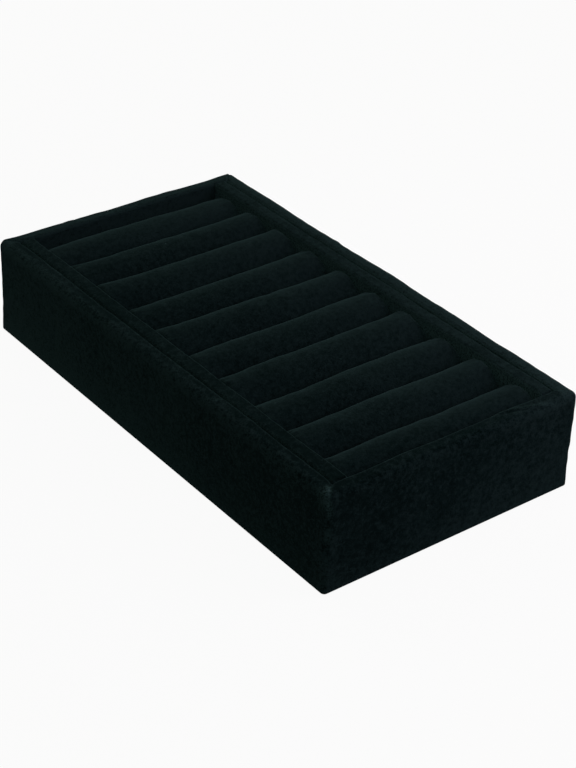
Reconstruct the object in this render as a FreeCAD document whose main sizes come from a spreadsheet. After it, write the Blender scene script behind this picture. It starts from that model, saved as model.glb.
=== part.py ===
import FreeCAD, Part
import os
import Sketcher

# Open ring tray: velvet over a mitred board frame, two side rails and a row of foam ring rolls.
# Millimetres. +Z up, X across the tray, Y along it, origin at the middle of the underside.

# Driving sizes: name, value, meaning
SIZES = [
    ("tray_length", 200.0, "overall, along Y"),
    ("tray_width", 108.0, "overall, along X"),
    ("tray_height", 39.0, "from the felt to the top of the rim"),
    ("velvet", 0.8, "thickness of the velvet, pile included"),
    ("wall_thickness", 4.5, "wall boards"),
    ("wall_outer_ease", 2.0, "rounding of the wall boards' outer corners and top"),
    ("wall_inner_ease", 0.4, "rounding of the wall boards' inner top edges"),
    ("base_thickness", 3.0, "base board"),
    ("felt_stand", 0.5, "how far the felt stands below the turned-under velvet"),
    ("hem_width", 8.0, "velvet turned under the base, from the outer face"),
    ("lay_gap", 0.2, "clearance round the felt and the floor liner"),
    ("liner_thickness", 0.8, "cloth on the inside floor"),
    ("rail_thickness", 3.6, "boards inside the side rails"),
    ("rail_ease", 0.6, "rounding of the rail boards' top edges"),
    ("rail_end_gap", 0.2, "between a rail's ends and the end walls"),
    ("rail_wall_gap", 0.9, "groove between a rail and the wall beside it"),
    ("roll_count", 10, "ring rolls"),
    ("roll_gap", 0.3, "between rolls, and between the end rolls and the walls"),
    ("roll_end_gap", 0.4, "between a roll's ends and the rails"),
    ("roll_drop", 1.5, "crest of the rolls below the rim"),
    ("roll_end_radius", 3.7, "rounding of the foam's drawn-in ends"),
    ("pin_diameter", 1.0, "headless pins"),
    ("pin_length", 14.0, "headless pins"),
    ("pin_clearance", 0.03, "between a pin and its hole, all round"),
    ("pin_set", 0.8, "how deep the corner pins are punched in"),
    ("corner_pin_low", 9.0, "lower corner pins, above the base board"),
    ("corner_pin_rise", 16.0, "from the lower to the upper corner pins"),
    ("long_pin_spacing", 60.0, "base pins under the long walls"),
    ("short_pin_spacing", 50.0, "base pins under the short walls"),
]

# Expressions worked out from the driving sizes
HEM_BOTTOM = "Sizes.felt_stand"
BASE_BOTTOM = "(Sizes.felt_stand + Sizes.velvet)"
WALL_BOTTOM = f"({BASE_BOTTOM} + Sizes.base_thickness)"
FLOOR = f"({WALL_BOTTOM} + Sizes.liner_thickness)"
BOARD_TOP = "(Sizes.tray_height - Sizes.velvet)"
BOARD_WIDTH = "(Sizes.tray_width - 2 * Sizes.velvet)"
BOARD_LENGTH = "(Sizes.tray_length - 2 * Sizes.velvet)"
WALL = "(Sizes.wall_thickness + 2 * Sizes.velvet)"
WALL_MIDDLE = "(Sizes.velvet + Sizes.wall_thickness / 2)"
INNER_WIDTH = f"(Sizes.tray_width - 2 * {WALL})"
INNER_LENGTH = f"(Sizes.tray_length - 2 * {WALL})"
HEM_HOLE_WIDTH = "(Sizes.tray_width - 2 * Sizes.hem_width)"
HEM_HOLE_LENGTH = "(Sizes.tray_length - 2 * Sizes.hem_width)"
RAIL = "(Sizes.rail_thickness + 2 * Sizes.velvet)"
RAIL_LENGTH = f"({INNER_LENGTH} - 2 * Sizes.rail_end_gap)"
RAIL_PLACE = f"(({INNER_WIDTH} - {RAIL}) / 2 - Sizes.rail_wall_gap)"
ROLL_PITCH = f"(({INNER_LENGTH} - Sizes.roll_gap) / Sizes.roll_count)"
ROLL_WIDTH = f"({ROLL_PITCH} - Sizes.roll_gap)"
ROLL_LENGTH = f"({INNER_WIDTH} - 2 * ({RAIL} + Sizes.rail_wall_gap + Sizes.roll_end_gap))"
ROLL_HEIGHT = f"(Sizes.tray_height - Sizes.roll_drop - {FLOOR})"
FIRST_ROLL = f"(Sizes.roll_gap + {ROLL_WIDTH} / 2 - {INNER_LENGTH} / 2)"
PIN_RADIUS = "(Sizes.pin_diameter / 2)"
HOLE_RADIUS = f"({PIN_RADIUS} + Sizes.pin_clearance)"

# Two lengths closer than this are the same
NEAR = 1e-4

doc = FreeCAD.newDocument("ring_tray")


def add_sizes():
    """Puts the driving sizes into the sheet, one row each: the value with its alias, then its meaning."""
    sheet = doc.addObject("Spreadsheet::Sheet", "Sizes")
    for row, (name, value, meaning) in enumerate(SIZES, start=1):
        sheet.set(f"A{row}", str(value))
        sheet.setAlias(f"A{row}", name)
        sheet.set(f"B{row}", meaning)
    doc.recompute()
    return sheet


def named(kind, name):
    """Adds an object to the document under its own label."""
    item = doc.addObject(kind, name)
    item.Label = name
    return item


def place(item, across="0", along="0", height="0"):
    """Ties an object's place to expressions along X, Y and Z."""
    item.setExpression("Placement.Base.x", across)
    item.setExpression("Placement.Base.y", along)
    item.setExpression("Placement.Base.z", height)


def sketch_on(body, role, name):
    """Adds a sketch on one of the body's own origin planes."""
    sketch = body.newObject("Sketcher::SketchObject", f"{body.Name}_{name}")
    plane = next(item for item in body.Origin.OriginFeatures if item.Role == role)
    sketch.AttachmentSupport = [(plane, "")]
    sketch.MapMode = "FlatFace"
    return sketch


def dimension(sketch, constraint, name, expression):
    """Adds a named dimension to a sketch and ties it to an expression."""
    index = sketch.addConstraint(constraint)
    sketch.renameConstraint(index, name)
    sketch.setExpression(f"Constraints.{name}", expression)


def draw_rectangle(sketch, name, width, length):
    """Draws a rectangle centred on the sketch's origin."""
    corners = [FreeCAD.Vector(x, y, 0) for x, y in ((-1, -1), (1, -1), (1, 1), (-1, 1))]
    lines = [Part.LineSegment(corners[i], corners[(i + 1) % 4]) for i in range(4)]
    side = [sketch.addGeometry(line) for line in lines]
    for i in range(4):
        sketch.addConstraint(Sketcher.Constraint("Coincident", side[i], 2, side[(i + 1) % 4], 1))
        sketch.addConstraint(Sketcher.Constraint("Vertical" if i % 2 else "Horizontal", side[i]))
    sketch.addConstraint(Sketcher.Constraint("Symmetric", side[0], 1, side[1], 2, -1, 1))
    across = Sketcher.Constraint("DistanceX", side[0], 1, side[0], 2, 2.0)
    along = Sketcher.Constraint("DistanceY", side[1], 1, side[1], 2, 2.0)
    dimension(sketch, across, f"{name}_width", width)
    dimension(sketch, along, f"{name}_length", length)


def draw_roll_section(sketch, width, height):
    """Draws a roll's section: flat below, straight sides and a half-round crown."""
    low_left = FreeCAD.Vector(-1, 0, 0)
    low_right = FreeCAD.Vector(1, 0, 0)
    high_right = FreeCAD.Vector(1, 1, 0)
    high_left = FreeCAD.Vector(-1, 1, 0)
    top = FreeCAD.Vector(0, 2, 0)
    bottom = sketch.addGeometry(Part.LineSegment(low_left, low_right))
    right = sketch.addGeometry(Part.LineSegment(low_right, high_right))
    crown = sketch.addGeometry(Part.Arc(high_right, top, high_left))
    left = sketch.addGeometry(Part.LineSegment(high_left, low_left))
    sketch.addConstraint(Sketcher.Constraint("Coincident", bottom, 2, right, 1))
    sketch.addConstraint(Sketcher.Constraint("Coincident", left, 2, bottom, 1))
    sketch.addConstraint(Sketcher.Constraint("Tangent", right, 2, crown, 1))
    sketch.addConstraint(Sketcher.Constraint("Tangent", crown, 2, left, 1))
    sketch.addConstraint(Sketcher.Constraint("Horizontal", bottom))
    sketch.addConstraint(Sketcher.Constraint("Vertical", right))
    sketch.addConstraint(Sketcher.Constraint("Vertical", left))
    sketch.addConstraint(Sketcher.Constraint("Symmetric", bottom, 1, bottom, 2, -1, 1))
    across = Sketcher.Constraint("DistanceX", bottom, 1, bottom, 2, 2.0)
    upward = Sketcher.Constraint("DistanceY", right, 1, right, 2, 1.0)
    dimension(sketch, across, "width", width)
    dimension(sketch, upward, "side", f"{height} - {width} / 2")


def pad(body, sketch, height):
    """Raises a sketch into a solid."""
    feature = body.newObject("PartDesign::Pad", f"{sketch.Name}_pad")
    feature.Profile = sketch
    feature.setExpression("Length", height)
    doc.recompute()
    return feature


def slab(body, name, outer, height, hole=None):
    """Raises a rectangle from the body's XY plane, as a frame where a hole's width and length are given."""
    sketch = sketch_on(body, "XY_Plane", name)
    draw_rectangle(sketch, "outer", *outer)
    if hole:
        draw_rectangle(sketch, "hole", *hole)
    return pad(body, sketch, height)


def round_edges(body, base, radius, wanted):
    """Rounds the edges of a feature whose middle point and direction pass the test."""
    names = []
    for number, edge in enumerate(base.Shape.Edges, start=1):
        if edge.Degenerated:
            continue
        middle = edge.valueAt((edge.FirstParameter + edge.LastParameter) / 2)
        direction = edge.tangentAt(edge.FirstParameter)
        if wanted(middle, direction):
            names.append(f"Edge{number}")
    feature = body.newObject("PartDesign::Fillet", f"{base.Name}_round")
    feature.Base = (base, names)
    feature.setExpression("Radius", radius)
    doc.recompute()
    return feature


def is_same(first, second):
    """True where two distances from the middle are equal."""
    return abs(abs(first) - abs(second)) < NEAR


def round_uprights(body, base, radius):
    """Rounds the outer upright edges of a feature."""
    box = base.Shape.BoundBox

    def wanted(middle, direction):
        outside = is_same(middle.x, box.XMax) and is_same(middle.y, box.YMax)
        return outside and is_same(direction.z, 1)

    return round_edges(body, base, radius, wanted)


def round_frame(body, frame, outer_radius, inner_radius):
    """Rounds a frame's outer corners together with its outer top edges, then its inner top edges."""
    box = frame.Shape.BoundBox
    inner_x = min(abs(vertex.X) for vertex in frame.Shape.Vertexes)
    inner_y = min(abs(vertex.Y) for vertex in frame.Shape.Vertexes)

    def outer(middle, direction):
        beside = is_same(middle.x, box.XMax)
        ahead = is_same(middle.y, box.YMax)
        if is_same(direction.z, 1):
            return beside and ahead
        return is_same(middle.z, box.ZMax) and (beside or ahead)

    def inner(middle, direction):
        beside = is_same(middle.x, inner_x) and is_same(direction.y, 1)
        ahead = is_same(middle.y, inner_y) and is_same(direction.x, 1)
        return is_same(middle.z, box.ZMax) and (beside or ahead)

    rounded = round_edges(body, frame, outer_radius, outer)
    return round_edges(body, rounded, inner_radius, inner)


def subtract(name, base, tool):
    """Cuts one object out of another."""
    item = named("Part::Cut", name)
    item.Base = base
    item.Tool = tool
    return item


def group(name, members):
    """Keeps separate solids together in one object."""
    item = named("Part::Compound", name)
    item.Links = members
    return item


def add_pin(name, radius, across, along, height, turn=0):
    """Adds a pin, or the hole for one, turned about Y from its upright stand."""
    pin = named("Part::Cylinder", name)
    pin.setExpression("Radius", radius)
    pin.setExpression("Height", "Sizes.pin_length")
    pin.Placement.Rotation = FreeCAD.Rotation(FreeCAD.Vector(0, 1, 0), turn)
    place(pin, across, along, height)
    return pin


def corner_pin_places():
    """Gives the pins that run along X through each mitre, two above each other."""
    for end in (-1, 1):
        for side, turn in ((-1, 90), (1, -90)):
            for step in (0, 1):
                across = f"{side} * ({BOARD_WIDTH} / 2 - Sizes.pin_set)"
                along = f"{end} * (Sizes.tray_length / 2 - {WALL_MIDDLE})"
                height = f"{WALL_BOTTOM} + Sizes.corner_pin_low + {step} * Sizes.corner_pin_rise"
                yield across, along, height, turn


def base_pin_places():
    """Gives the upright pins, three under each long wall and two under each short one."""
    for side in (-1, 1):
        for step in (-1, 0, 1):
            across = f"{side} * (Sizes.tray_width / 2 - {WALL_MIDDLE})"
            yield across, f"{step} * Sizes.long_pin_spacing", BASE_BOTTOM
        for step in (-0.5, 0.5):
            along = f"{side} * (Sizes.tray_length / 2 - {WALL_MIDDLE})"
            yield f"{step} * Sizes.short_pin_spacing", along, BASE_BOTTOM


def add_pins(name, places):
    """Adds a set of equal pins and the set of holes that they sit in."""
    pins = []
    holes = []
    for number, spot in enumerate(places, start=1):
        pins.append(add_pin(f"{name}_{number}", PIN_RADIUS, *spot))
        holes.append(add_pin(f"{name}_hole_{number}", HOLE_RADIUS, *spot))
    return group(name, pins), group(f"{name}_holes", holes)


def add_base():
    """Builds the base board, its felt, and the plain block that the velvet is wrapped round."""
    block = named("PartDesign::Body", "base_block")
    place(block, height=BASE_BOTTOM)
    panel = slab(block, "panel", (BOARD_WIDTH, BOARD_LENGTH), "Sizes.base_thickness")
    round_uprights(block, panel, "Sizes.wall_outer_ease")
    felt = named("PartDesign::Body", "base_felt")
    felt_width = f"{HEM_HOLE_WIDTH} - 2 * Sizes.lay_gap"
    felt_length = f"{HEM_HOLE_LENGTH} - 2 * Sizes.lay_gap"
    slab(felt, "sheet", (felt_width, felt_length), BASE_BOTTOM)
    return block, felt


def add_liner():
    """Lays the cloth on the inside floor."""
    liner = named("PartDesign::Body", "floor_liner")
    place(liner, height=WALL_BOTTOM)
    liner_width = f"{INNER_WIDTH} - 2 * Sizes.lay_gap"
    liner_length = f"{INNER_LENGTH} - 2 * Sizes.lay_gap"
    slab(liner, "sheet", (liner_width, liner_length), "Sizes.liner_thickness")
    return liner


def add_wall_block():
    """Builds the four walls as one frame, before they are parted at the mitres."""
    block = named("PartDesign::Body", "wall_block")
    place(block, height=WALL_BOTTOM)
    hole_width = f"{BOARD_WIDTH} - 2 * Sizes.wall_thickness"
    hole_length = f"{BOARD_LENGTH} - 2 * Sizes.wall_thickness"
    height = f"{BOARD_TOP} - {WALL_BOTTOM}"
    frame = slab(block, "frame", (BOARD_WIDTH, BOARD_LENGTH), height, (hole_width, hole_length))
    round_frame(block, frame, "Sizes.wall_outer_ease", "Sizes.wall_inner_ease")
    return block


def add_wall_velvet(wall_block, base_block):
    """Wraps the walls: up the outside, over the rim, down the inside, and a hem under the base."""
    skin = named("PartDesign::Body", "velvet_block")
    place(skin, height=HEM_BOTTOM)
    outer = ("Sizes.tray_width", "Sizes.tray_length")
    height = f"Sizes.tray_height - {HEM_BOTTOM}"
    frame = slab(skin, "frame", outer, height, (INNER_WIDTH, INNER_LENGTH))
    outer_radius = "Sizes.wall_outer_ease + Sizes.velvet"
    inner_radius = "Sizes.wall_inner_ease + Sizes.velvet"
    round_frame(skin, frame, outer_radius, inner_radius)
    slab(skin, "hem", (BOARD_WIDTH, BOARD_LENGTH), "Sizes.velvet", (HEM_HOLE_WIDTH, HEM_HOLE_LENGTH))
    return subtract("wall_velvet", subtract("velvet_over_base", skin, base_block), wall_block)


def add_wall_board(name, frame, span, reach, turn):
    """Parts one wall from the frame between two mitres.

    The wedge is drawn as the front wall, span long with its outer face at reach, then turned about Z.
    """
    wedge = named("Part::Wedge", f"{name}_mitre")
    sizes = {
        "Xmin": f"-{span} / 2",
        "Xmax": f"{span} / 2",
        "X2min": f"{WALL} - {span} / 2",
        "X2max": f"{span} / 2 - {WALL}",
        "Ymin": f"-{reach} / 2",
        "Ymax": f"{WALL} - {reach} / 2",
        "Zmin": "0",
        "Z2min": "0",
        "Zmax": "Sizes.tray_height",
        "Z2max": "Sizes.tray_height",
    }
    for key, expression in sizes.items():
        wedge.setExpression(key, expression)
    wedge.Placement.Rotation = FreeCAD.Rotation(FreeCAD.Vector(0, 0, 1), turn)
    board = named("Part::Common", name)
    board.Base = frame
    board.Tool = wedge
    return board


def add_wall_boards(wall_block, holes):
    """Drills the frame for its pins and parts it into the four wall boards."""
    frame = subtract("drilled_walls", wall_block, holes)
    width = "Sizes.tray_width"
    length = "Sizes.tray_length"
    return [
        add_wall_board("front_wall_board", frame, width, length, 0),
        add_wall_board("right_wall_board", frame, length, width, 90),
        add_wall_board("rear_wall_board", frame, width, length, 180),
        add_wall_board("left_wall_board", frame, length, width, 270),
    ]


def add_rail_bar(name, side, thickness, top, radius):
    """Builds one upright bar of a side rail, with its two long top edges rounded."""
    bar = named("PartDesign::Body", name)
    place(bar, across=f"{side} * {RAIL_PLACE}", height=FLOOR)
    strip = slab(bar, "strip", (thickness, RAIL_LENGTH), f"{top} - {FLOOR}")
    upper = strip.Shape.BoundBox.ZMax

    def wanted(middle, direction):
        return is_same(middle.z, upper) and is_same(direction.y, 1)

    round_edges(bar, strip, radius, wanted)
    return bar


def add_rail(name, side):
    """Builds one side rail: its board and the velvet over it."""
    board = add_rail_bar(f"{name}_rail_board", side, "Sizes.rail_thickness", BOARD_TOP, "Sizes.rail_ease")
    radius = "Sizes.rail_ease + Sizes.velvet"
    block = add_rail_bar(f"{name}_rail_block", side, RAIL, "Sizes.tray_height", radius)
    return board, subtract(f"{name}_rail_velvet", block, board)


def add_roll_form(name, along, skin, radius):
    """Builds a roll's padded form, less a skin all round but below, with its ends drawn in."""
    form = named("PartDesign::Body", name)
    place(form, along=along, height=FLOOR)
    sketch = sketch_on(form, "YZ_Plane", "section")
    draw_roll_section(sketch, f"({ROLL_WIDTH} - 2 * {skin})", f"({ROLL_HEIGHT} - {skin})")
    bar = pad(form, sketch, f"{ROLL_LENGTH} - 2 * {skin}")
    bar.SideType = "Symmetric"
    doc.recompute()
    end = bar.Shape.BoundBox.XMax

    def wanted(middle, direction):
        return is_same(middle.x, end) and middle.z > NEAR

    round_edges(form, bar, radius, wanted)
    return form


def add_roll(index):
    """Builds one ring roll: its foam core and its velvet sleeve, open below where it is glued."""
    name = f"roll_{index + 1:02d}"
    along = f"{FIRST_ROLL} + {index} * {ROLL_PITCH}"
    core = add_roll_form(f"{name}_core", along, "Sizes.velvet", "Sizes.roll_end_radius")
    radius = "Sizes.roll_end_radius + Sizes.velvet"
    block = add_roll_form(f"{name}_block", along, "0", radius)
    return core, subtract(f"{name}_sleeve", block, core)


def check(nodes):
    """Stops where anything failed to build, before a file is written."""
    doc.recompute()
    for item in doc.Objects:
        if "Invalid" in item.State or "Error" in item.State:
            raise RuntimeError(f"{item.Label} failed: {item.State}")
    for node in nodes:
        if node.Shape.isNull() or not node.Shape.isValid() or node.Shape.Volume <= 0:
            raise RuntimeError(f"{node.Label} has no sound shape")


def main():
    """Builds the tray from the base up and writes one file for each node."""
    sheet = add_sizes()
    corner_pins, corner_holes = add_pins("corner_pins", corner_pin_places())
    base_pins, base_holes = add_pins("base_pins", base_pin_places())
    base_block, felt = add_base()
    wall_block = add_wall_block()
    holes = group("wall_holes", [corner_holes, base_holes])
    nodes = [subtract("base_board", base_block, base_holes), felt, add_liner()]
    nodes += add_wall_boards(wall_block, holes)
    nodes += [corner_pins, base_pins, add_wall_velvet(wall_block, base_block)]
    for name, side in (("left", -1), ("right", 1)):
        nodes += add_rail(name, side)
    for index in range(int(sheet.roll_count)):
        nodes += add_roll(index)
    check(nodes)
    os.makedirs("parts", exist_ok=True)
    for node in nodes:
        node.Shape.exportStep(f"parts/{node.Label}.step")
        print(f"{node.Label}: {len(node.Shape.Solids)} solid, {node.Shape.Volume:.1f} mm3")


main()
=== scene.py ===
"""Dresses a black velvet ring tray: ten padded rolls between two rails, in a box covered with velvet."""
import logging
import math
from dataclasses import dataclass, field, replace
from enum import Enum
from typing import Any

import bmesh
import bpy
import numpy as np
from mathutils import Matrix, Vector


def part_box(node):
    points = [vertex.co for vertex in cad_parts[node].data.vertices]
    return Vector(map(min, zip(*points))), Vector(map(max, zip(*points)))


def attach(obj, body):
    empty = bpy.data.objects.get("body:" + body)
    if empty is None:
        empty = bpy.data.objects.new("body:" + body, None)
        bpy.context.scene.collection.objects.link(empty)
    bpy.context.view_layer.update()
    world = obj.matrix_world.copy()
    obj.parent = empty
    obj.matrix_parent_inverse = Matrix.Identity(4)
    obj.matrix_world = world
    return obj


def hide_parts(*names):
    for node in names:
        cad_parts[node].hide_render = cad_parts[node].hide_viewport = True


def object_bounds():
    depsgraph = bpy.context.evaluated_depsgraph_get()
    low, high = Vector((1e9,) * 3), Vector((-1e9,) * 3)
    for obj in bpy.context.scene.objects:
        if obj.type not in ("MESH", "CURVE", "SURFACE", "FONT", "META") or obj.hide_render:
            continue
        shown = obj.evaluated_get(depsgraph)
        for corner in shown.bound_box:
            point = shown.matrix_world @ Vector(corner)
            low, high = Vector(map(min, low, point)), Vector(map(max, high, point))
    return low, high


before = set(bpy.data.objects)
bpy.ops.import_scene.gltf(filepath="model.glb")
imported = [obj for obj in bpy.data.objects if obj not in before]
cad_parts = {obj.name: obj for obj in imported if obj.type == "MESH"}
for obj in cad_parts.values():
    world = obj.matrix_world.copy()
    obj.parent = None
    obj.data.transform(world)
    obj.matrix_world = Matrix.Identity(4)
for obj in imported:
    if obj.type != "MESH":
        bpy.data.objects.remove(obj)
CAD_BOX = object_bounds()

MM = 0.001
TOGETHER = 0.002 * MM
TINY = 1e-12
NOISE_MIDDLE = 0.5
Pair = tuple[float, float]
Triple = tuple[float, float, float]
Colour = tuple[float, float, float, float]
WHITE: Colour = (1, 1, 1, 1)
LOG = logging.getLogger("ring_tray")


class Slot(Enum):
    """The record's material slots."""

    VELVET = "black_velvet"
    BOARD = "board"
    STEEL = "pin_steel"
    FELT = "base_felt"
    LINER = "floor_cloth"
    FOAM = "foam"


class Side(Enum):
    """The two long sides of the tray, with the sign of their X."""

    LEFT = -1
    RIGHT = 1

    @property
    def word(self) -> str:
        """The side's word in the names of nodes."""
        return self.name.lower()


class Value:
    """A number socket on which Python's operators add Math nodes."""

    def __init__(self, maker: "NodeMaker", socket: bpy.types.NodeSocket) -> None:
        """Keeps the socket and the maker that adds nodes after it."""
        self.maker = maker
        self.socket = socket

    def math(self, operation: str, first: Any, second: Any) -> "Value":
        """Adds one Math node for an operation on two numbers or sockets."""
        return self.maker.value("Math", {"operation": operation}, {0: first, 1: second})

    def __add__(self, other: Any) -> "Value":
        """Adds a number or socket."""
        return self.math("ADD", self, other)

    def __sub__(self, other: Any) -> "Value":
        """Takes away a number or socket."""
        return self.math("SUBTRACT", self, other)

    def __rsub__(self, other: Any) -> "Value":
        """Is taken away from a number."""
        return self.math("SUBTRACT", other, self)

    def __mul__(self, other: Any) -> "Value":
        """Multiplies by a number or socket."""
        return self.math("MULTIPLY", self, other)

    __radd__, __rmul__ = __add__, __mul__

    def larger(self, other: Any) -> "Value":
        """Gives the larger of two values."""
        return self.math("MAXIMUM", self, other)

    def step(self, low: float, high: float) -> "Value":
        """Rises smoothly from 0 at low to 1 at high."""
        limits = {"Value": self, "From Min": low, "From Max": high}
        return self.maker.value("MapRange", {"interpolation_type": "SMOOTHSTEP"}, limits)


class NodeMaker:
    """Adds the nodes of one material or of the world."""

    def __init__(self, owner: bpy.types.ID) -> None:
        """Clears the owner's node tree.

        Args:
            owner: the material or the world.
        """
        owner.use_nodes = True
        self.tree = owner.node_tree
        self.tree.nodes.clear()

    def add(self, kind: str, settings: dict[str, Any] | None = None,
            sockets: dict[str | int, Any] | None = None) -> bpy.types.Node:
        """Adds any node.

        Args:
            kind: the node's type, without the prefix that all share.
            settings: the node's own settings, which are set first.
            sockets: the values or links of its inputs, by name or number.

        Returns:
            The new node.
        """
        node = self.tree.nodes.new("ShaderNode" + kind)
        for key, setting in (settings or {}).items():
            setattr(node, key, setting)
        for key, source in (sockets or {}).items():
            source = source.socket if isinstance(source, Value) else source
            if isinstance(source, bpy.types.NodeSocket):
                self.tree.links.new(source, node.inputs[key])
            else:
                node.inputs[key].default_value = source
        return node

    def value(self, kind: str, settings: dict[str, Any] | None = None,
              sockets: dict[str | int, Any] | None = None, output: str | int = 0) -> Value:
        """Adds any node and wraps one of its outputs, given by name or number."""
        return Value(self, self.add(kind, settings, sockets).outputs[output])

    def mark(self, name: str) -> Value:
        """Reads a value that the mesh holds at each of its points."""
        return self.value("Attribute", {"attribute_name": name}, None, "Fac")

    def place(self, stretch: Triple = (1, 1, 1)) -> bpy.types.NodeSocket:
        """Gives the place on the piece in millimetres.

        Args:
            stretch: how much each axis is enlarged.

        Returns:
            The vector socket.
        """
        point = self.add("TexCoord").outputs["Object"]
        scale = tuple(share / MM for share in stretch)
        return self.add("VectorMath", {"operation": "MULTIPLY"}, {0: point, 1: scale}).outputs[0]

    def noise(self, place: bpy.types.NodeSocket, length: float, detail: float = 2.0,
              rough: float = 0.5) -> Value:
        """Adds a noise about 0.5, with clouds of a length in millimetres and rough finer layers."""
        settings = {"Vector": place, "Scale": 1 / length, "Detail": detail, "Roughness": rough}
        return self.value("TexNoise", None, settings)

    def specks(self, place: bpy.types.NodeSocket, spacing: float, size: float, share: float,
               core: float = 0.3, soft: float = 0.02) -> Value:
        """Adds scattered small dots.

        Args:
            place: the place in millimetres.
            spacing: the distance from dot to dot in millimetres.
            size: the dots' radius in millimetres.
            share: the share of the dots that show.
            core: the share of a dot's radius within which it is full.
            soft: the share of the dots that show in part.

        Returns:
            A mask that is 1 in the dots.
        """
        cells = self.add("TexVoronoi", None, {"Vector": place, "Scale": 1 / spacing})
        near = Value(self, cells.outputs["Distance"]).step(size / spacing, core * size / spacing)
        chosen = self.value("SeparateColor", None, {"Color": cells.outputs["Color"]})
        return near * chosen.step(1 - share, 1 - share + soft)

    def mix(self, factor: Any, first: Any, second: Any) -> bpy.types.NodeSocket:
        """Mixes two colours, with as much of the second one as the factor says."""
        sockets = {0: factor, 6: first, 7: second}
        return self.add("Mix", {"data_type": "RGBA"}, sockets).outputs[2]

    def relief(self, height: Value, depth: float, strength: float) -> bpy.types.NodeSocket:
        """Turns a height into a bump whose depth for a height of 1 is given in millimetres."""
        sockets = {"Strength": strength, "Distance": depth * MM, "Height": height}
        return self.add("Bump", None, sockets).outputs[0]

    def seen(self) -> Value:
        """Tells where the camera looks straight, by reflection or through glass.

        Returns:
            A mask that is 1 for those rays.
        """
        path = self.add("LightPath")
        camera, glossy, glass = [Value(self, path.outputs[f"Is {kind} Ray"])
                                 for kind in ("Camera", "Glossy", "Transmission")]
        return camera.larger(glossy).larger(glass)

    def surface(self, sockets: dict[str, Any]) -> None:
        """Ends the tree with one surface shader whose sockets are given."""
        shader = self.add("BsdfPrincipled", None, sockets)
        self.add("OutputMaterial", None, {"Surface": shader.outputs[0]})


@dataclass(frozen=True)
class Finish:
    """What all finishes share: a name, and a material that each kind paints in its own way."""

    name: str

    def material(self) -> bpy.types.Material:
        """Makes the material.

        Returns:
            The painted material.
        """
        made = bpy.data.materials.new(self.name)
        self.paint(NodeMaker(made))
        return made

    def paint(self, maker: NodeMaker) -> None:
        """Adds the nodes, which each kind of finish knows for itself."""
        raise NotImplementedError(self.name)


@dataclass(frozen=True)
class Velvet(Finish):
    """Short black pile: almost no gloss, a pale bloom at glancing angles, patches of paler pile, lint, and
    painted light and shade.

    Shares and heights go with grain, tuft and patch in that order. Lint has spacing, size and share.
    """

    name: str = "black_velvet"
    shade: Colour = (0.0004, 0.0018, 0.0018, 1)
    pale_pile_and_painted_light: Colour = (0.0058, 0.0113, 0.0120, 1)
    fluff_and_painted_light: Colour = (0.035, 0.067, 0.067, 1)
    bloom: Colour = (0.50, 0.96, 0.98, 1)
    bloom_weight: float = 0.034
    bloom_roughness: float = 0.48
    grain: float = 0.50
    grain_layers: Pair = (3.0, 0.6)
    tuft: float = 1.6
    patch: float = 24.0
    shares: Triple = (0.52, 0.38, 0.10)
    pale_pile_and_painted_light_rise: Pair = (0.37, 0.64)
    fluff_and_painted_light_rise: Pair = (0.30, 0.62)
    lint: Triple = (5.5, 0.42, 0.30)
    lint_strength: float = 0.25
    heights: Pair = (0.7, 0.5)
    depth: float = 0.11
    relief: float = 0.5

    def paint(self, maker: NodeMaker) -> None:
        """Adds the pile, its worn places, its lint, and the light and shade painted where the meshes mark
        them.

        Args:
            maker: adds the nodes.
        """
        place = maker.place()
        grain = maker.noise(place, self.grain, *self.grain_layers)
        tuft, patch = maker.noise(place, self.tuft), maker.noise(place, self.patch)
        wear, nap, even = [maker.mark(name) for name in ("wear", "nap", "even")]
        rough = grain * self.shares[0] + tuft * self.shares[1] + patch * self.shares[2] - NOISE_MIDDLE
        # The painted light mark shifts the pile between its dark and pale colours: this is painted light
        # and shade.
        pile = rough * (1 - even) + nap + NOISE_MIDDLE
        colour = maker.mix(pile.step(*self.pale_pile_and_painted_light_rise), self.shade, self.pale_pile_and_painted_light)
        lint = maker.specks(place, *self.lint)
        # The pale worn colour shows real worn places and lint, and also painted light where the meshes mark
        # it.
        fluff_and_painted_light_share = (wear * grain.step(*self.fluff_and_painted_light_rise)).larger(lint * self.lint_strength)
        height = grain * self.heights[0] + tuft * self.heights[1]
        maker.surface({
            "Base Color": maker.mix(fluff_and_painted_light_share, colour, self.fluff_and_painted_light),
            "Roughness": 1.0,
            "Specular IOR Level": 0.0,
            "Sheen Weight": self.bloom_weight,
            "Sheen Roughness": self.bloom_roughness,
            "Sheen Tint": self.bloom,
            "Normal": maker.relief(height, self.depth, self.relief),
        })


@dataclass(frozen=True)
class Felt(Finish):
    """Pressed fibres lying every way and faint clouds, each with its share of the tone."""

    dark: Colour
    light: Colour
    fibre: float = 0.35
    fibre_layers: Pair = (4.0, 0.65)
    fibre_stretch: float = 0.25
    cloud: float = 14.0
    shares: Pair = (0.8, 0.3)
    light_rise: Pair = (0.40, 0.85)
    depth: float = 0.25
    relief: float = 0.7

    def paint(self, maker: NodeMaker) -> None:
        """Adds the fibres and their clouds.

        Args:
            maker: adds the nodes.
        """
        stretches = (self.fibre_stretch, 1, 1), (1, self.fibre_stretch, 1)
        lengthwise, crosswise = [maker.noise(maker.place(stretch), self.fibre, *self.fibre_layers)
                                 for stretch in stretches]
        fibres = lengthwise.larger(crosswise)
        tone = fibres * self.shares[0] + maker.noise(maker.place(), self.cloud) * self.shares[1]
        maker.surface({
            "Base Color": maker.mix(tone.step(*self.light_rise), self.dark, self.light),
            "Roughness": 0.95,
            "Specular IOR Level": 0.05,
            "Sheen Weight": 0.04,
            "Sheen Roughness": 0.5,
            "Normal": maker.relief(fibres, self.depth, self.relief),
        })


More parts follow.
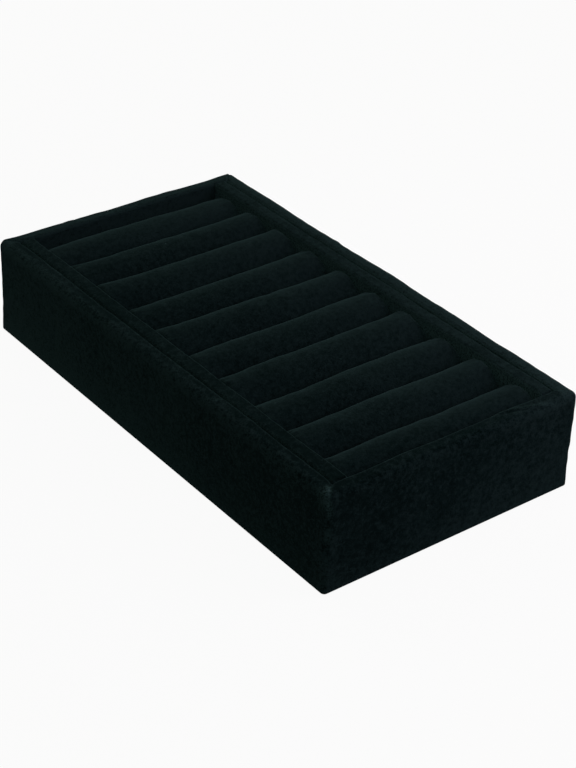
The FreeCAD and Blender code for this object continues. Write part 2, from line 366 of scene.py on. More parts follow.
@dataclass(frozen=True)
class Foam(Finish):
    """Dark open-cell foam with small round pores, painted darker as shade in the cavities."""

    name: str = "grey_foam"
    wall: Colour = (0.060, 0.064, 0.068, 1)
    pore_shade: Colour = (0.012, 0.013, 0.015, 1)
    pore_size: float = 0.9
    cloud: float = 9.0
    cloud_share: float = 0.25
    wall_rise: Pair = (0.28, 0.72)
    depth: float = 0.4
    relief: float = 0.8

    def paint(self, maker: NodeMaker) -> None:
        """Adds the pores.

        Args:
            maker: adds the nodes.
        """
        place = maker.place()
        cells = maker.value("TexVoronoi", None, {"Vector": place, "Scale": 1 / self.pore_size})
        wall = (cells + maker.noise(place, self.cloud) * self.cloud_share).step(*self.wall_rise)
        maker.surface({
            "Base Color": maker.mix(wall, self.pore_shade, self.wall),
            "Roughness": 0.9,
            "Specular IOR Level": 0.2,
            "Normal": maker.relief(wall, self.depth, self.relief),
        })


@dataclass(frozen=True)
class Fibreboard(Finish):
    """Pressed wood fibre: fine flecks and soft clouds, each with its share of the tone."""

    name: str = "pressed_fibreboard"
    dark: Colour = (0.150, 0.092, 0.048, 1)
    light: Colour = (0.330, 0.225, 0.130, 1)
    fleck: float = 0.5
    fleck_layers: Pair = (4.0, 0.65)
    fleck_stretch: Triple = (0.3, 0.3, 1)
    cloud: float = 18.0
    shares: Pair = (0.7, 0.5)
    light_rise: Pair = (0.35, 0.85)
    roughness: float = 0.62
    roughness_play: float = 0.2
    depth: float = 0.12
    relief: float = 0.5

    def paint(self, maker: NodeMaker) -> None:
        """Adds the flecks and their clouds.

        Args:
            maker: adds the nodes.
        """
        fleck = maker.noise(maker.place(self.fleck_stretch), self.fleck, *self.fleck_layers)
        tone = fleck * self.shares[0] + maker.noise(maker.place(), self.cloud) * self.shares[1]
        maker.surface({
            "Base Color": maker.mix(tone.step(*self.light_rise), self.dark, self.light),
            "Roughness": self.roughness + self.roughness_play * fleck,
            "Normal": maker.relief(fleck, self.depth, self.relief),
        })


@dataclass(frozen=True)
class Steel(Finish):
    """Drawn pin wire, bright and finely clouded."""

    name: str = "drawn_pin_steel"
    dull: Colour = (0.30, 0.30, 0.31, 1)
    bright: Colour = (0.62, 0.62, 0.63, 1)
    cloud: float = 0.25
    cloud_layers: float = 3.0
    bright_rise: Pair = (0.3, 0.7)
    roughness: float = 0.28
    roughness_play: float = 0.25
    depth: float = 0.02
    relief: float = 0.4

    def paint(self, maker: NodeMaker) -> None:
        """Adds the clouds.

        Args:
            maker: adds the nodes.
        """
        cloud = maker.noise(maker.place(), self.cloud, self.cloud_layers)
        maker.surface({
            "Base Color": maker.mix(cloud.step(*self.bright_rise), self.dull, self.bright),
            "Metallic": 1.0,
            "Roughness": self.roughness + self.roughness_play * cloud,
            "Normal": maker.relief(cloud, self.depth, self.relief),
        })


@dataclass(frozen=True)
class PaleFloor(Finish):
    """The plain pale floor: it takes the shadow and shows the camera a near white ground."""

    name: str = "pale_floor"
    colour: Colour = (0.48, 0.48, 0.48, 1)
    ground: float = 0.94

    def paint(self, maker: NodeMaker) -> None:
        """Adds the lit floor and the white ground.

        Args:
            maker: adds the nodes.
        """
        seen = maker.seen()
        lit = maker.add("BsdfDiffuse", None, {"Color": self.colour})
        white = maker.add("Emission", None, {"Color": WHITE, "Strength": 1.0})
        sockets = {0: seen * self.ground, 1: lit.outputs[0], 2: white.outputs[0]}
        mixed = maker.add("MixShader", None, sockets)
        maker.add("OutputMaterial", None, {"Surface": mixed.outputs[0]})


@dataclass(frozen=True)
class Finishes:
    """The materials of the whole tray, by slot."""

    by_slot: dict[Slot, bpy.types.Material]

    @classmethod
    def make(cls) -> "Finishes":
        """Makes every finish once.

        Returns:
            The made finishes.
        """
        liner = Felt("floor_cloth", (0.004, 0.006, 0.006, 1), (0.014, 0.017, 0.018, 1))
        felt = Felt("base_felt", (0.006, 0.008, 0.009, 1), (0.030, 0.034, 0.036, 1))
        kinds = {Slot.VELVET: Velvet(), Slot.BOARD: Fibreboard(), Slot.STEEL: Steel(),
                 Slot.FELT: felt, Slot.LINER: liner, Slot.FOAM: Foam()}
        return cls({slot: kind.material() for slot, kind in kinds.items()})

    def put_on(self, piece: bpy.types.Object, slot: Slot) -> None:
        """Gives a piece the finish of its slot.

        Args:
            piece: the piece.
            slot: its slot.
        """
        piece.data.materials.clear()
        piece.data.materials.append(self.by_slot[slot])


@dataclass(frozen=True)
class Ripple:
    """A smooth seeded unevenness: a sum of waves of about one length, running every way."""

    length: float
    height: float
    seed: int
    waves: int = 14
    scatter: Pair = (0.7, 1.4)

    def again(self, number: int) -> "Ripple":
        """Gives the same unevenness with a later seed."""
        return replace(self, seed=self.seed + number)

    def at(self, points: np.ndarray) -> np.ndarray:
        """Measures the unevenness.

        Args:
            points: places in metres, with X, Y and Z on the last axis.

        Returns:
            The heights in metres, one for each place.
        """
        draw = np.random.default_rng(self.seed)
        ways = draw.normal(size=(self.waves, 3))
        ways /= np.linalg.norm(ways, axis=1, keepdims=True)
        turns = ways * draw.uniform(*self.scatter, (self.waves, 1)) * 2 * math.pi / self.length
        starts = draw.uniform(0, 2 * math.pi, self.waves)
        return self.height * math.sqrt(2 / self.waves) * np.cos(points @ turns.T + starts).sum(-1)


def smooth(value: np.ndarray, low: float, high: float) -> np.ndarray:
    """Changes smoothly from 0 at low to 1 at high, also where high is the lesser of the two."""
    share = np.clip((value - low) / (high - low), 0, 1)
    return share * share * (3 - 2 * share)


def hump(distance: np.ndarray, width: float) -> np.ndarray:
    """Gives 1 at no distance and falls away as a bell of that width."""
    return np.exp(-(distance / width) ** 2)


def blend(first: float, second: float, share: np.ndarray) -> np.ndarray:
    """Goes from the first value to the second one as the share goes from 0 to 1."""
    return first + (second - first) * share


def arc(centre: Pair, radius: float, start: float, end: float, steps: int) -> np.ndarray:
    """Points along an arc about a centre, one a row, between two angles in degrees."""
    angles = np.radians(np.linspace(start, end, steps))
    return np.column_stack((centre[0] + radius * np.cos(angles), centre[1] + radius * np.sin(angles)))


def run(start: Pair, end: Pair, step: float) -> np.ndarray:
    """Points along a straight run, without its two ends.

    Args:
        start: where it starts.
        end: where it ends.
        step: the distance between points.

    Returns:
        The points, one a row.
    """
    count = max(2, math.ceil(math.dist(start, end) / step))
    shares = np.arange(1, count)[:, None] / count
    return np.asarray(start) + shares * (np.asarray(end) - np.asarray(start))


def crowded(length: float, fine: float, coarse: float, growth: float = 1.18) -> np.ndarray:
    """Shares of a length, close together at its ends and wider apart in its middle.

    Args:
        length: the length.
        fine: the first step at each end.
        coarse: the widest step.
        growth: how much each step is longer than the one before it.

    Returns:
        The shares from 0 to 1, without the two ends.
    """
    places, step = [0.0], fine
    while places[-1] + step < length / 2:
        places.append(places[-1] + step)
        step = min(coarse, step * growth)
    half = np.array(places[1:]) / length
    return np.concatenate((half, 1 - half[::-1]))


def facing(points: np.ndarray, looped: bool) -> np.ndarray:
    """The outward directions of a grid of points.

    Args:
        points: the grid, rows by columns by 3.
        looped: whether the last column joins the first.

    Returns:
        Directions of length 1, in the same grid.
    """
    if looped:
        wide = np.concatenate((points[:, -1:], points, points[:, :1]), axis=1)
        along = np.gradient(wide, axis=1)[:, 1:-1]
    else:
        along = np.gradient(points, axis=1)
    normal = np.cross(along, np.gradient(points, axis=0))
    return normal / np.maximum(np.linalg.norm(normal, axis=-1, keepdims=True), TINY)


def thinned(count: int, every: int) -> np.ndarray:
    """Picks every so many of a row of places, and always its last one."""
    return np.unique(np.append(np.arange(0, count, every), count - 1))


def spread(kept: np.ndarray, count: int) -> np.ndarray:
    """Weights, all places by kept ones, that spread what is known at a row's kept places over it."""
    return np.stack([np.interp(np.arange(count), kept, one) for one in np.eye(len(kept))], axis=1)


def quads(rows: int, columns: int, looped: bool) -> np.ndarray:
    """The faces between the points of a grid.

    Args:
        rows: how many rows it has.
        columns: how many columns it has.
        looped: whether the last column joins the first.

    Returns:
        The four points of each face, by number.
    """
    index = np.arange(rows * columns).reshape(rows, columns)
    if looped:
        index = np.concatenate((index, index[:, :1]), axis=1)
    corners = (index[:-1, :-1], index[:-1, 1:], index[1:, 1:], index[1:, :-1])
    return np.stack(corners, axis=-1).reshape(-1, 4)


def skin(name: str, points: np.ndarray, looped: bool, **marks: np.ndarray) -> bpy.types.Object:
    """Makes a smooth mesh over a grid of points.

    Args:
        name: the piece's name.
        points: the grid, rows by columns by 3, in metres.
        looped: whether the last column joins the first.
        marks: values at each point that the finish reads, by their names.

    Returns:
        The new object.
    """
    mesh = bpy.data.meshes.new(name)
    mesh.from_pydata(points.reshape(-1, 3).tolist(), [], quads(*points.shape[:2], looped).tolist())
    for key, values in marks.items():
        mesh.attributes.new(key, "FLOAT", "POINT").data.foreach_set("value", values.ravel())
    weld(mesh)
    piece = bpy.data.objects.new(name, mesh)
    bpy.context.scene.collection.objects.link(piece)
    return piece


def weld(mesh: bpy.types.Mesh) -> None:
    """Joins points that lie together, drops what that empties and shades the mesh smooth.

    Args:
        mesh: the mesh.
    """
    work = bmesh.new()
    work.from_mesh(mesh)
    bmesh.ops.remove_doubles(work, verts=work.verts, dist=TOGETHER)
    bmesh.ops.dissolve_degenerate(work, edges=work.edges, dist=0.5 * TOGETHER)
    work.to_mesh(mesh)
    work.free()
    mesh.shade_smooth()


@dataclass(frozen=True)
class PaintedLightGradient:
    """Painted light and shade across the tray: darkest at the near left corner, painted lighter towards the
    rear and the right where more light falls, and darker at one place on the left rim.
    """

    darkest: float = -0.045
    rearward: float = 0.06
    rearward_reach: float = 200 * MM
    rightward: float = 0.05
    rightward_reach: float = 100 * MM
    dull: float = 0.055
    dull_place: Triple = (-50 * MM, 36 * MM, 39 * MM)
    dull_reach: float = 19 * MM

    def at(self, points: np.ndarray) -> np.ndarray:
        """Measures the painted light and shade.

        Args:
            points: places in metres.

        Returns:
            The painted light at each place, about 0.
        """
        right, rear = np.moveaxis(points[..., :2] - np.array(CAD_BOX[0])[:2], -1, 0)
        rising = self.rearward * smooth(rear, 0, self.rearward_reach)
        rising += self.rightward * smooth(right, 0, self.rightward_reach)
        dull = hump(np.linalg.norm(points - self.dull_place, axis=-1), self.dull_reach)
        return self.darkest + rising - self.dull * dull


# The painted light gradient shared by walls, rails and rolls.
PAINTED_LIGHT_GRADIENT = PaintedLightGradient()


class TrayCloth:
    """A cloth that rides on the tray in place of one node."""

    node: str
    slot: Slot
    piece: bpy.types.Object | None

    @property
    def pieces(self) -> list[bpy.types.Object]:
        """The made cloth, alone in a list."""
        return [self.piece]

    def dress(self, finishes: Finishes) -> None:
        """Gives the cloth its finish and sets it on the tray.

        Args:
            finishes: the tray's finishes.
        """
        finishes.put_on(self.piece, self.slot)
        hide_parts(self.node)
        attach(self.piece, "tray")


@dataclass(frozen=True)
class Crease:
    """A slack ridge that runs across the top of a wall from one point in plan to another."""

    start: Pair
    end: Pair
    width: float
    height: float
    trough: float = 0.6
    trough_offset: float = 1.6
    fade_in: Pair = (-0.15, 0.25)
    fade_out: Pair = (1.15, 0.75)

    def at(self, points: np.ndarray) -> np.ndarray:
        """Measures the ridge.

        Args:
            points: places in metres.

        Returns:
            The ridge's height at each place, with a shallow trough along one side.
        """
        start, way = np.array(self.start), np.array(self.end) - np.array(self.start)
        length = np.linalg.norm(way)
        way = way / length
        offset = points[..., :2] - start
        along = offset @ way / length
        across = offset[..., 0] * way[1] - offset[..., 1] * way[0]
        fade = smooth(along, *self.fade_in) * smooth(along, *self.fade_out)
        trough = self.trough * hump(across - self.trough_offset * self.width, self.width)
        return self.height * fade * (hump(across, self.width) - trough)


@dataclass(frozen=True)
class WallMarks:
    """Where and how much the wall strip is slack, gathered or worn, and where light and shade are painted
    on it.

    Lengths are in metres. A rise, reach or turn goes from nothing to all of a mark. Two strengths of a mark
    are the least and the most of it.
    """

    slack_rise: Pair = (0.6 * MM, 9 * MM)
    top_rise: Pair = (3.2 * MM, 1.0 * MM)
    top_margin: float = 0.2 * MM
    ridge_wear: float = 0.3 / MM
    ridge_most: float = 0.12

    mitre_turn: Pair = (-1 * MM, 1 * MM)
    mitre_step: float = 0.14 * MM
    mitre_step_reach: float = 5 * MM
    mitre_groove: float = 0.34 * MM
    mitre_groove_width: float = 0.45 * MM
    mitre_wear: float = 0.08
    mitre_wear_width: float = 0.7 * MM

    edge_inset: float = 0.6 * MM
    edge_depth: float = 1.2 * MM
    # Painted light along the near corner edge.
    edge_nap: float = 0.07
    edge_nap_reach: float = 4 * MM
    seam_width: float = 1.3 * MM
    seam_rise: Pair = (1.0 * MM, 3.0 * MM)
    seam_fade: float = 30 * MM
    seam_groove: float = 0.10 * MM
    seam_wear: float = 0.27

    patch_place: Triple = (2.0 * MM, 3.0 * MM, 0.8 * MM)
    patch_height: float = 0.55
    patch_reach: float = 2.4 * MM
    patch_margin: float = 1.0 * MM
    patch_turn: Pair = (-0.8 * MM, 0.6 * MM)
    patch_swell: float = 0.25 * MM
    patch_wear: float = 0.58
    patch_torn: Pair = (0.4, 1.0)
    torn_share: float = 0.6

    # Painted light and shade on the rims: the far rims painted lighter as a highlight, the others darker;
    # the front rim's inner edge line is partly worn pile and partly a painted highlight.
    rim_rise: Pair = (1.8 * MM, 0.3 * MM)
    rim_nap: float = -0.04
    far_rim_nap: float = 0.085
    far_rim_wear: Pair = (0.035, 0.095)
    near_end: float = 0.5
    line_inset: float = 0.5 * MM
    line_width: float = 0.6 * MM
    line_wear: Pair = (0.02, 0.05)

    # Painted light on the shoulders, and a painted highlight on the far shoulders.
    shoulder_rise: Pair = (5 * MM, 1.5 * MM)
    shoulder_reach: Pair = (4 * MM, 1.5 * MM)
    shoulder_nap: Pair = (0.05, 0.10)
    shoulder_wear: float = 0.10
    shoulder_power: int = 3
    shoulder_front: float = 0.8
    shoulder_front_start: float = 0.2

    # Painted light in the inner faces, most on the right.
    inside_rise: Pair = (-0.8 * MM, -0.1 * MM)
    inside_reach: Pair = (9 * MM, 3 * MM)
    inside_nap: float = 0.06
    inside_wear_left: float = 0.06
    inside_wear_right: float = 0.28

    # Painted light at the foot of the walls and towards the rear of the long faces; painted shade on the
    # long faces and the left of the front face.
    foot_fade: float = 8 * MM
    foot_nap: float = 0.085
    foot_wear: Pair = (0.065, 0.26)
    face_depth: float = 0.5 * MM
    long_face_nap: float = -0.015
    long_face_rear_nap: float = 0.07
    front_face_nap: float = -0.022
    long_wall_even: float = -0.35


class WallPlaces:
    """Where each point of the wall strip lies: distances in metres, and masks from 0 to 1."""

    def __init__(self, cover: "WallCover", points: np.ndarray) -> None:
        """Measures all points.

        Args:
            cover: the strip.
            points: its points as it lies tight on its boards.
        """
        marks, wide, long = cover.marks, cover.half_width, cover.half_length
        self.points = points
        self.x, self.y, z = np.moveaxis(points, -1, 0)
        self.below, self.height = cover.rim - z, z - cover.bottom
        from_side, from_end = wide - np.abs(self.x), long - np.abs(self.y)
        self.inset, self.beside = np.minimum(from_side, from_end), from_side - from_end
        self.near = np.hypot(self.x + wide - marks.edge_inset, self.y + long - marks.edge_inset)
        self.near_edge = self.inset < marks.edge_depth
        self.far_wall = (self.x > wide - cover.thickness) | (self.y > long - cover.thickness)
        self.on_rim = smooth(self.below, *marks.rim_rise)
        self.inside = smooth(self.inset - cover.thickness, *marks.inside_rise)
        self.shoulder = smooth(self.below, *marks.shoulder_rise) * smooth(self.inset, *marks.shoulder_reach)
        self.foot = np.exp(-self.height / marks.foot_fade)
        self.long_wall = smooth(-self.beside, *marks.mitre_turn)
        self.rearward = self.long_wall * smooth(self.y, -long, long)
        self.rightward = (1 - self.long_wall) * smooth(self.x, marks.shoulder_front_start * wide, wide)
        self.near_end = smooth(self.y, -marks.near_end * long, -long)
        self.torn = np.clip(marks.torn_share + cover.fray.at(points), 0, 1)
        self.seam = hump(self.near, marks.seam_width) * smooth(self.below, *marks.seam_rise)
        self.seam *= self.near_edge * np.exp(-self.below / marks.seam_fade)
        right, rear, down = marks.patch_place
        from_patch = points - (right - wide, rear - long, cover.rim - down)
        patch = np.linalg.norm(from_patch * (1, 1, marks.patch_height), axis=-1)
        self.gather = hump(patch, marks.patch_reach) * (self.inset < cover.thickness - marks.patch_margin)
        self.gather *= smooth(-self.beside, *marks.patch_turn)
        on_top = smooth(self.below, *marks.top_rise) * (self.inset < cover.thickness - marks.top_margin)
        self.ridges = on_top * sum(crease.at(points) for crease in cover.creases)


@dataclass
class WallCover(TrayCloth):
    """The velvet strip round the four walls: under the base, up outside, over the rim and down inside."""

    half_width: float
    half_length: float
    bottom: float
    rim: float
    floor: float
    thickness: float
    hem: float
    shoulder: float = 2.8 * MM
    inner_edge: float = 1.2 * MM
    bottom_edge: float = 0.5 * MM
    foot_corner: float = 1.5 * MM
    inner_corner: float = 0.3 * MM
    step: float = 0.9 * MM
    rim_step: float = 0.45 * MM
    corner_step: float = 0.35 * MM
    long_step: float = 1.3 * MM
    corner_steps: int = 11
    shoulder_steps: int = 13
    inner_steps: int = 7
    bottom_steps: int = 5
    deepest: float = -0.45 * MM
    sag: Ripple = Ripple(34 * MM, 0.14 * MM, 3)
    dimple: Ripple = Ripple(7 * MM, 0.045 * MM, 4)
    gathers: Ripple = Ripple(2.2 * MM, 0.20 * MM, 5)
    fray: Ripple = Ripple(8 * MM, 0.4, 6)
    creases: tuple[Crease, ...] = (
        Crease((20 * MM, -94.0 * MM), (43 * MM, -99.8 * MM), 0.55 * MM, 0.36 * MM),
        Crease((-48.6 * MM, -38 * MM), (-54 * MM, -34 * MM), 0.9 * MM, 0.22 * MM),
        Crease((47.5 * MM, 20 * MM), (54 * MM, 31 * MM), 1.1 * MM, 0.20 * MM),
        Crease((-18 * MM, 94 * MM), (-26 * MM, 100 * MM), 1.0 * MM, 0.22 * MM),
    )
    marks: WallMarks = WallMarks()
    node: str = "wall_velvet"
    slot: Slot = Slot.VELVET
    piece: bpy.types.Object | None = None

    @classmethod
    def from_frame(cls) -> "WallCover":
        """Takes the sizes from the walls, the board inside them and the felt inside the hem.

        Returns:
            The cover, before it is built.
        """
        low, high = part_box("wall_velvet")
        board_low, board_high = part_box("front_wall_board")
        felt_low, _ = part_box("base_felt")
        _, base_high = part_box("base_board")
        thickness = board_high.y - board_low.y + 2 * (board_low.y - low.y)
        return cls(high.x, high.y, low.z, high.z, base_high.z, thickness, felt_low.x - low.x)

    def profile(self) -> np.ndarray:
        """The strip's cross-section.

        Returns:
            Rows of (distance in from the outer face, height), from under the base to the inside floor.
        """
        edge, top, inner = self.bottom_edge, self.rim - self.shoulder, self.thickness - self.inner_edge
        return np.concatenate((
            [(self.hem, self.bottom)],
            run((self.hem, self.bottom), (edge, self.bottom), self.step),
            arc((edge, self.bottom + edge), edge, 270, 180, self.bottom_steps),
            run((0, self.bottom + edge), (0, top), self.step),
            arc((self.shoulder, top), self.shoulder, 180, 90, self.shoulder_steps),
            run((self.shoulder, self.rim), (inner, self.rim), self.rim_step),
            arc((inner, self.rim - self.inner_edge), self.inner_edge, 90, 0, self.inner_steps),
            run((self.thickness, self.rim - self.inner_edge), (self.thickness, self.floor), self.step),
            [(self.thickness, self.floor)],
        ))

    def loop(self, inset: float, height: float) -> np.ndarray:
        """The way round the tray at one row of the strip.

        Args:
            inset: the row's distance in from the outer face.
            height: the row's height.

        Returns:
            The row's points, from the near left corner along the front wall and round.
        """
        wide, long = self.half_width - inset, self.half_length - inset
        rise = min(1.0, (height - self.bottom) / (self.rim - self.shoulder - self.bottom))
        radius = max(blend(self.foot_corner, self.shoulder, rise) - inset, self.inner_corner)
        short_shares, long_shares = [crowded(2 * half, self.corner_step, self.long_step)[:, None]
                                     for half in (self.half_width, self.half_length)]
        corners = ((-1, -1, 180), (1, -1, 270), (1, 1, 0), (-1, 1, 90))
        arcs = [arc((x * (wide - radius), y * (long - radius)), radius, start, start + 90,
                    self.corner_steps) for x, y, start in corners]
        points = []
        for number, bend in enumerate(arcs):
            after = arcs[(number + 1) % len(arcs)][0]
            shares = long_shares if number % 2 else short_shares
            points += [bend, bend[-1] + shares * (after - bend[-1])]
        plan = np.concatenate(points)
        return np.column_stack((plan, np.full(len(plan), height)))

    def slack(self, at: WallPlaces) -> np.ndarray:
        """Tells how far the strip stands off: slack, mitre folds, creases, gathers and seam.

        Args:
            at: where its points lie.

        Returns:
            The distances in metres, one for each point.
        """
        marks = self.marks
        loose = smooth(at.height, *marks.slack_rise) * (self.sag.at(at.points) + self.dimple.at(at.points))
        fold = marks.mitre_step * np.sign(at.beside) * hump(at.beside, marks.mitre_step_reach)
        fold -= marks.mitre_groove * hump(at.beside, marks.mitre_groove_width)
        swell = at.gather * (marks.patch_swell + self.gathers.at(at.points))
        lift = loose + at.on_rim * fold + at.ridges + swell - marks.seam_groove * at.seam
        return np.maximum(lift, self.deepest)

    def wear(self, at: WallPlaces) -> np.ndarray:
        """Tells how worn the pile is, and where light is painted in with the pale worn colour.

        Args:
            at: where the strip's points lie.

        Returns:
            The worn share and painted light from 0 to 1, one for each point.
        """
        marks = self.marks
        # The front rim's inner edge line: partly worn pile, partly a painted highlight.
        front_line = hump(at.inset - self.thickness + marks.line_inset, marks.line_width)
        front_line *= at.on_rim * (at.y < self.thickness - self.half_length)
        # Painted light in the inner faces, most on the right.
        inside = np.where(at.x > 0, marks.inside_wear_right, marks.inside_wear_left) * at.inside
        wear = marks.patch_wear * at.gather * blend(*marks.patch_torn, at.torn)
        wear += marks.seam_wear * at.seam * at.torn
        wear += marks.mitre_wear * at.on_rim * hump(at.beside, marks.mitre_wear_width)
        wear += front_line * blend(*marks.line_wear, at.torn)
        wear += np.clip(marks.ridge_wear * at.ridges, 0, marks.ridge_most)
        # Painted light: inner faces near the top, a painted highlight on the far shoulders, the foot of the
        # long walls, and a painted highlight on the far rims.
        wear += inside * at.long_wall * smooth(at.below, *marks.inside_reach)
        far_shoulder = at.rearward ** marks.shoulder_power + marks.shoulder_front * at.rightward
        wear += marks.shoulder_wear * at.shoulder * far_shoulder
        wear += at.foot * at.long_wall * blend(*marks.foot_wear, at.rearward)
        wear += at.on_rim * at.far_wall * blend(*marks.far_rim_wear, at.near_end)
        return np.clip(wear, 0, 1)

    def nap(self, at: WallPlaces) -> np.ndarray:
        """Paints light and shade into the pile's tone.

        Args:
            at: where the strip's points lie.

        Returns:
            The painted light and shade, about 0, one for each point.
        """
        marks, painted_gradient = self.marks, PAINTED_LIGHT_GRADIENT.at(at.points)
        # Painted shade on the long outer faces, the left of the front face and the left and front rims;
        # painted light towards the rear and right, on inner faces, at the foot, on shoulders, far rims and
        # along the near edge.
        long_face = marks.long_face_rear_nap * at.rearward + marks.long_face_nap * at.long_wall
        front_face = (at.y < marks.face_depth - self.half_length) * smooth(at.x, self.half_width, 0)
        nap = painted_gradient + (at.inset < marks.face_depth) * long_face + marks.front_face_nap * front_face
        nap += marks.inside_nap * at.inside + marks.foot_nap * at.foot
        nap += at.shoulder * blend(*marks.shoulder_nap, at.long_wall)
        nap += at.on_rim * np.where(at.far_wall, marks.far_rim_nap - painted_gradient, marks.rim_nap)
        return nap + marks.edge_nap * hump(at.near, marks.edge_nap_reach) * at.near_edge

    def build(self) -> None:
        """Makes the strip, with its mitre folds, its seam and a little slack."""
        profile = self.profile()
        points = np.stack([self.loop(inset, height) for inset, height in profile])
        at = WallPlaces(self, points)
        shaped = points + facing(points, True) * self.slack(at)[..., None]
        self.piece = skin("wall_velvet_strip", shaped, True, wear=self.wear(at), nap=self.nap(at),
                          even=self.marks.long_wall_even * at.long_wall)
        ring = self.loop(0, self.rim - self.shoulder)


@dataclass
class RailCover(TrayCloth):
    """The velvet over one side rail: up one face, over the top, down the other and round the ends."""

    side: Side
    node: str
    low: Vector
    high: Vector
    slot: Slot = Slot.VELVET
    top_edge: float = 1.1 * MM
    end_edge: float = 0.5 * MM
    end_lap: float = 0.1 * MM
    groove_fill: float = 0.6 * MM
    step: float = 0.9 * MM
    top_step: float = 0.54 * MM
    long_step: float = 1.2 * MM
    edge_steps: int = 8
    end_steps: int = 5
    highest: float = 0.12 * MM
    sag: Ripple = Ripple(26 * MM, 0.10 * MM, 11)
    dimple: Ripple = Ripple(6 * MM, 0.04 * MM, 12)
    slack_reach: Pair = (0.3 * MM, 6 * MM)
    slack_foot: float = 12 * MM
    left_nap: float = -0.04
    right_nap: float = 0.02
    face_nap: float = 0.12
    face_nap_rise: Pair = (0.1 * MM, 1.2 * MM)
    face_rise: Pair = (-0.8 * MM, -0.1 * MM)
    rubbed_wear: float = 0.50
    recess_painted_light_reach: Pair = (12 * MM, 5 * MM)
    recess_painted_light_rise: Pair = (0.3 * MM, 1.8 * MM)
    recess_painted_light_edge: Pair = (0.4, 1.0)
    recess_painted_light_near: Pair = (1.3, 1.0)
    groove_wear: float = 0.08
    groove_reach: Pair = (5 * MM, 2 * MM)
    piece: bpy.types.Object | None = None

    @classmethod
    def from_frame(cls, side: Side) -> "RailCover":
        """Takes the sizes from the rail's own cover."""
        node = f"{side.word}_rail_velvet"
        return cls(side, node, *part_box(node))

    @property
    def middle(self) -> float:
        """The X of the rail's middle."""
        return (self.low.x + self.high.x) / 2

    @property
    def half(self) -> float:
        """Half the rail's width."""
        return (self.high.x - self.low.x) / 2

    def section(self, inset: float) -> np.ndarray:
        """The cover's cross-section, drawn in by a distance.

        Args:
            inset: how far it is drawn in.

        Returns:
            Rows of (X, Z), up the left face and down the right one.
        """
        half, edge, top, foot = self.half, self.top_edge, self.high.z, self.low.z
        whole = np.concatenate((
            [(-half, foot)],
            run((-half, foot), (-half, top - edge), self.step),
            arc((-half + edge, top - edge), edge, 180, 90, self.edge_steps),
            run((-half + edge, top), (half - edge, top), self.top_step),
            arc((half - edge, top - edge), edge, 90, 0, self.edge_steps),
            run((half, top - edge), (half, foot), self.step),
            [(half, foot)],
        ))
        whole[:, 0] *= (half - inset) / half
        whole[:, 1] -= inset * smooth(whole[:, 1], top - 3 * edge, top)
        if self.side is Side.LEFT:
            whole[whole[:, 0] < 0, 0] *= 1 + self.groove_fill / half
        whole[:, 0] += self.middle
        return whole

    def grid(self) -> np.ndarray:
        """The cover as it lies tight on its board.

        Returns:
            A grid of points from the near end to the far end.
        """
        bend = arc((self.end_edge, self.end_edge), self.end_edge, 270, 180, self.end_steps)
        ends = [(-self.end_lap, self.half), *[(depth - self.end_lap, inset) for inset, depth in bend]]
        inner = run((self.low.y + self.end_edge, 0), (self.high.y - self.end_edge, 0), self.long_step)[:, 0]
        places = [(self.low.y + depth, inset) for depth, inset in ends]
        places += [(place, 0.0) for place in inner]
        places += [(self.high.y - depth, inset) for depth, inset in reversed(ends)]
        return np.stack([np.insert(self.section(inset), 1, place, axis=1) for place, inset in places])

    def build(self) -> None:
        """Makes the cover, with a little slack, with painted light on its faces, its inner face and by the
        groove, and with painted shade on the left rail.
        """
        points = self.grid()
        x, y, z = np.moveaxis(points, -1, 0)
        below, inward = self.high.z - z, -self.side.value * (x - self.middle)
        loose = smooth(np.minimum(y - self.low.y, self.high.y - y), *self.slack_reach)
        loose *= smooth(z, self.low.z + self.slack_foot, self.high.z)
        lift = np.minimum((self.sag.at(points) + self.dimple.at(points)) * loose, self.highest)
        shaped = points + facing(points, False) * lift[..., None]
        left = self.side is Side.LEFT
        # Painted shade on the left rail, painted light on the right one, and the faces below the top
        # painted lighter.
        nap = PAINTED_LIGHT_GRADIENT.at(points) + self.left_nap if left else np.full(z.shape, self.right_nap)
        nap = nap + self.face_nap * smooth(below, *self.face_nap_rise)
        # Painted light in the recess on the inner face that looks at the rolls' ends, and on the face by
        # the groove.
        recess_painted_light_mask = smooth(inward - self.half, *self.face_rise) * smooth(below, *self.recess_painted_light_reach)
        recess_painted_light_mask *= blend(*self.recess_painted_light_edge, smooth(below, *self.recess_painted_light_rise))
        recess_painted_light_mask *= blend(*self.recess_painted_light_near, smooth(y, self.low.y, 0))
        pale_pile_and_painted_light = smooth(-inward - self.half, *self.face_rise) * smooth(below, *self.groove_reach)
        self.piece = skin(f"{self.node}_cover", shaped, False, nap=nap,
                          wear=self.rubbed_wear * recess_painted_light_mask + self.groove_wear * pale_pile_and_painted_light)


@dataclass(frozen=True)
class Lie:
    """How one roll lies: its crest's lean, skew and flatness in millimetres, and the light painted on its
    pile, darker where negative.
    """

    lean: float
    skew: float
    flat: float
    nap: float = 0.0


ROLL_LIES = (
    Lie(-0.4, -0.9, 0.2), Lie(0.1, -0.3, 0.0, 0.01), Lie(-0.6, 0.1, 0.2), Lie(1.2, -0.3, -0.4),
    Lie(0.5, 0.0, -0.1), Lie(0.8, -0.6, -0.1), Lie(0.2, 0.7, 0.1, -0.01), Lie(1.3, 0.3, -0.5),
    Lie(0.7, -0.4, -0.2, -0.01), Lie(-1.2, -0.7, 0.9, 0.02),
)


@dataclass(frozen=True)
class RollEnd:
    """How one end of a roll is rounded off: along its length, down from its crest, in from its flanks."""

    length: float
    drop: float
    narrow: float

    def steps(self, count: int) -> list[tuple[float, float]]:
        """Pairs of (distance from the end, share of the drop), from the end plane to the full section."""
        angles = np.radians(np.linspace(0, 90, count))
        return [(self.length * (1 - math.cos(angle)), 1 - math.sin(angle)) for angle in angles]


